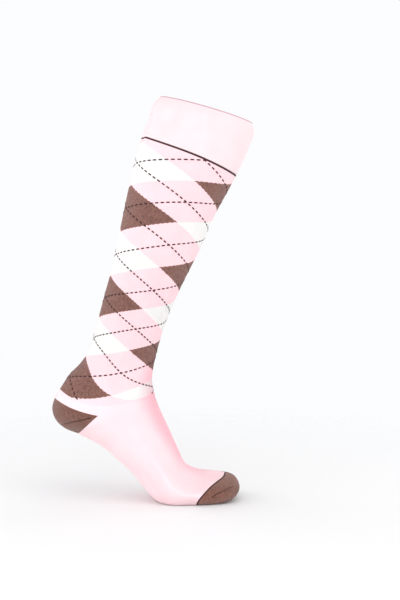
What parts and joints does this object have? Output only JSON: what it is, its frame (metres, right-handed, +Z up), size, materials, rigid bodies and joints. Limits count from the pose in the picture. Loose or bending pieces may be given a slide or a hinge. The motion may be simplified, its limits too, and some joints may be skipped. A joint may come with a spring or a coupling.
{
  "type": "riding sock",
  "caption": "Long knitted riding sock in its worn form, with a deep cuff, an argyle leg, and a contrasting heel pocket and toe.",
  "frame": {"origin": "centre of the leg opening, where the leg comes in and by which the sock is held up", "axes": "+X towards the toes, +Z up, and the sock's outer side faces -Y; the leg leans forward and the toes point along +X"},
  "size_m": [0.2309, 0.107, 0.4625],
  "materials": {
    "cuff": "double-thick knit, matt",
    "cuff_stripe": "knit stripe, matt",
    "leg": "fine knit with an argyle pattern, matt",
    "foot": "fine plain knit, matt",
    "heel": "closer knit, matt",
    "toe_stripe": "knit stripe, matt",
    "toe": "closer knit, matt"
  },
  "bodies": {
    "root": {"cuff": "cuff", "cuff_stripe": "cuff_stripe", "leg": "leg", "foot": "foot", "heel": "heel", "toe_stripe": "toe_stripe", "toe": "toe"}
  },
  "joints": []
}
